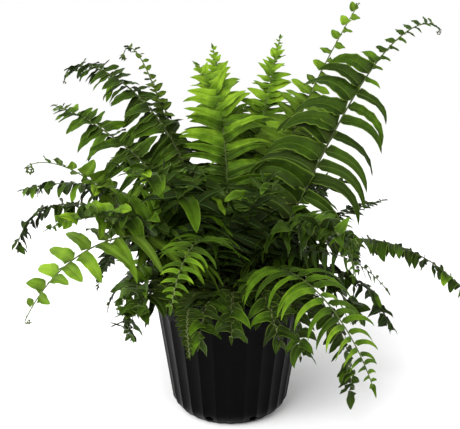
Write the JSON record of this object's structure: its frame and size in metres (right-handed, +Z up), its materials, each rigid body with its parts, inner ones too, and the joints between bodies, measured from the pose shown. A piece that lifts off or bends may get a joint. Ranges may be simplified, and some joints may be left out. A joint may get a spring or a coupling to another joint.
{
  "type": "potted fern",
  "caption": "Boston-type fern with arching fronds growing from a crown in potting mix, in a fluted round nursery pot.",
  "frame": {"origin": "centre of the pot's flat underside, on the surface it stands on", "axes": "+Z up along the pot's axis, -Y towards the viewer the plant faces, +X to that viewer's right"},
  "size_m": [0.7477, 0.6818, 0.6627],
  "materials": {
    "pot_plastic": "satin black blow-moulded polyethylene",
    "potting_mix": "damp peat and bark with perlite, matt and crumbly",
    "rootstock": "fibrous brown rhizome with dry scales",
    "grown_frond": "semi-gloss leaf, mid to dark green, paler below",
    "young_frond": "semi-gloss new leaf, yellow green"
  },
  "bodies": {
    "root": {"pot": "pot_plastic", "potting_mix": "potting_mix", "rootstock": "rootstock", "frond_upright_1": "grown_frond", "frond_upright_2": "grown_frond", "frond_upright_3": "grown_frond", "frond_upright_4": "young_frond", "frond_left_1": "young_frond", "frond_left_2": "grown_frond", "frond_left_3": "grown_frond", "frond_left_4": "young_frond", "frond_left_5": "grown_frond", "frond_left_6": "grown_frond", "frond_left_7": "young_frond", "frond_left_8": "grown_frond", "frond_left_9": "grown_frond", "frond_left_10": "grown_frond", "frond_front_1": "grown_frond", "frond_front_2": "grown_frond", "frond_front_3": "grown_frond", "frond_front_4": "grown_frond", "frond_front_5": "grown_frond", "frond_right_1": "grown_frond", "frond_right_2": "grown_frond", "frond_right_3": "grown_frond", "frond_right_4": "grown_frond", "frond_right_5": "grown_frond", "frond_right_6": "grown_frond", "frond_right_7": "grown_frond", "frond_right_8": "grown_frond", "frond_right_9": "grown_frond", "frond_back_1": "grown_frond", "frond_back_2": "grown_frond", "frond_back_3": "grown_frond", "frond_back_4": "grown_frond", "frond_back_5": "grown_frond", "frond_back_6": "grown_frond", "frond_back_7": "grown_frond", "frond_back_8": "grown_frond", "frond_back_9": "grown_frond", "frond_inner_1": "grown_frond", "frond_inner_2": "grown_frond", "frond_inner_3": "grown_frond", "frond_inner_4": "grown_frond", "frond_low_1": "grown_frond", "frond_low_2": "grown_frond", "frond_low_3": "grown_frond", "frond_low_4": "grown_frond", "frond_low_5": "grown_frond", "frond_low_6": "grown_frond", "frond_low_7": "grown_frond", "frond_low_8": "grown_frond", "frond_low_9": "grown_frond", "frond_low_10": "grown_frond", "crozier_1": "young_frond", "crozier_2": "young_frond", "crozier_3": "young_frond"}
  },
  "joints": []
}
